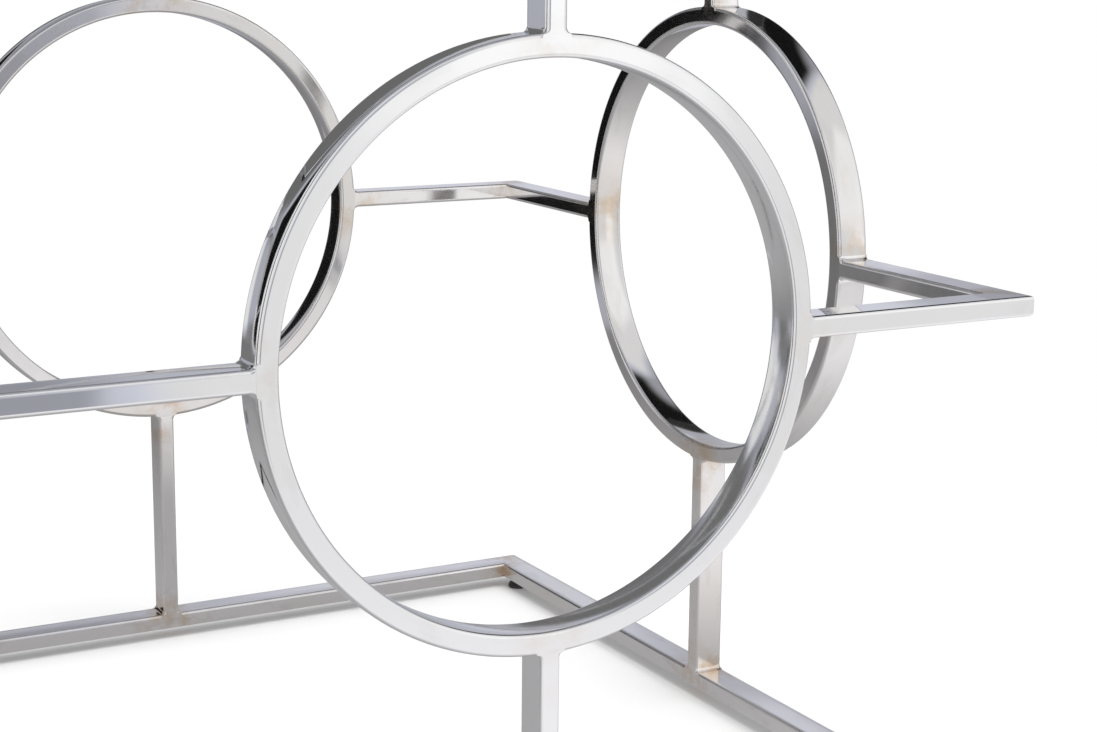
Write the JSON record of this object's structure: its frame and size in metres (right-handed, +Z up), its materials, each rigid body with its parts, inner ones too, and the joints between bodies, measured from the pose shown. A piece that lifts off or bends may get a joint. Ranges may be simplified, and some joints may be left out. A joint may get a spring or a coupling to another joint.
{
  "type": "ring-sided frame rack",
  "caption": "Open cube-shaped rack frame of polished rectangular tube, with a large ring in the middle of each side held by short bars between mitred square hoops, on screw feet.",
  "frame": {"origin": "on the floor, under the middle of the square footprint, with the feet screwed in", "axes": "+Z up, +Y towards the back, +X to the right seen from the front; the four sides are alike"},
  "size_m": [0.635, 0.635, 0.672],
  "materials": {
    "polished_steel": "mirror-polished stainless steel with a slight haze, light tan heat tint near the welds",
    "plated_steel": "zinc-plated steel",
    "pad_plastic": "black moulded plastic, satin"
  },
  "bodies": {
    "frame": {"bottom_rail_front": "polished_steel", "top_rail_front": "polished_steel", "ring_front": "polished_steel", "lower_post_front": "polished_steel", "upper_post_front": "polished_steel", "middle_arm_front_a": "polished_steel", "middle_arm_front_b": "polished_steel", "bottom_rail_right": "polished_steel", "top_rail_right": "polished_steel", "ring_right": "polished_steel", "lower_post_right": "polished_steel", "upper_post_right": "polished_steel", "middle_arm_right_a": "polished_steel", "middle_arm_right_b": "polished_steel", "bottom_rail_back": "polished_steel", "top_rail_back": "polished_steel", "ring_back": "polished_steel", "lower_post_back": "polished_steel", "upper_post_back": "polished_steel", "middle_arm_back_a": "polished_steel", "middle_arm_back_b": "polished_steel", "bottom_rail_left": "polished_steel", "top_rail_left": "polished_steel", "ring_left": "polished_steel", "lower_post_left": "polished_steel", "upper_post_left": "polished_steel", "middle_arm_left_a": "polished_steel", "middle_arm_left_b": "polished_steel", "foot_insert_front_left": "plated_steel", "foot_insert_front_right": "plated_steel", "foot_insert_back_right": "plated_steel", "foot_insert_back_left": "plated_steel"},
    "foot_front_left": {"foot_pad_front_left": "pad_plastic", "foot_stem_front_left": "plated_steel"},
    "foot_front_right": {"foot_pad_front_right": "pad_plastic", "foot_stem_front_right": "plated_steel"},
    "foot_back_right": {"foot_pad_back_right": "pad_plastic", "foot_stem_back_right": "plated_steel"},
    "foot_back_left": {"foot_pad_back_left": "pad_plastic", "foot_stem_back_left": "plated_steel"}
  },
  "joints": [
    {"name": "foot_front_left_screw", "type": "slide", "parent": "frame", "child": "foot_front_left", "axis": [0, 0, -1], "range_m": [0, 0.005]},
    {"name": "foot_front_right_screw", "type": "slide", "parent": "frame", "child": "foot_front_right", "axis": [0, 0, -1], "range_m": [0, 0.005]},
    {"name": "foot_back_right_screw", "type": "slide", "parent": "frame", "child": "foot_back_right", "axis": [0, 0, -1], "range_m": [0, 0.005]},
    {"name": "foot_back_left_screw", "type": "slide", "parent": "frame", "child": "foot_back_left", "axis": [0, 0, -1], "range_m": [0, 0.005]}
  ]
}
